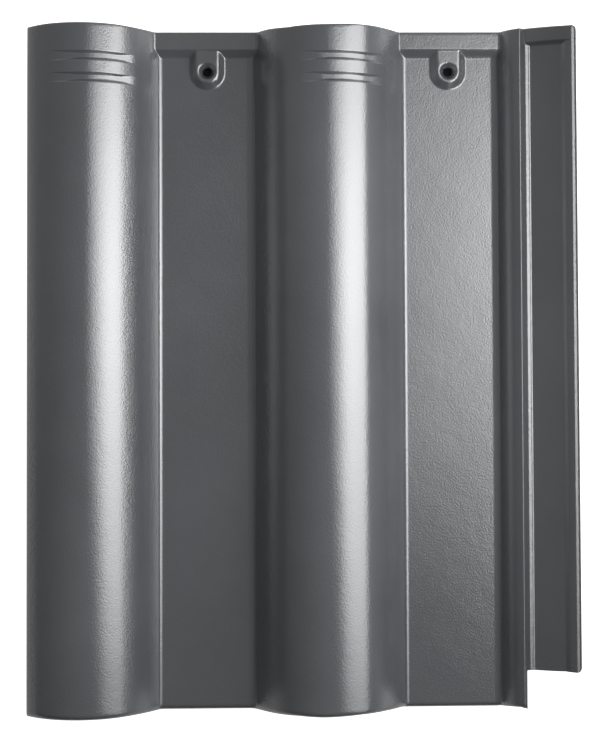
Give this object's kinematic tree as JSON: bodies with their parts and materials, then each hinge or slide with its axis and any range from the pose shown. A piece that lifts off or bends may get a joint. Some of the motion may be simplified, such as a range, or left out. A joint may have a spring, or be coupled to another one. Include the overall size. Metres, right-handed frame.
{
  "type": "interlocking roof tile",
  "caption": "Interlocking double-roll roof tile with nail lugs, a side-lap channel, batten nibs and weather bars, glazed dark grey.",
  "frame": {"origin": "middle of the tile's footprint, on the floor that it lies on, face up", "axes": "+X across the tile towards the under-lapping edge, +Y from the tail to the head, +Z out of the weathered face"},
  "size_m": [0.3368, 0.42, 0.056],
  "materials": {
    "glaze": "gloss"
  },
  "bodies": {
    "root": {"roof_tile": "glaze"}
  },
  "joints": []
}
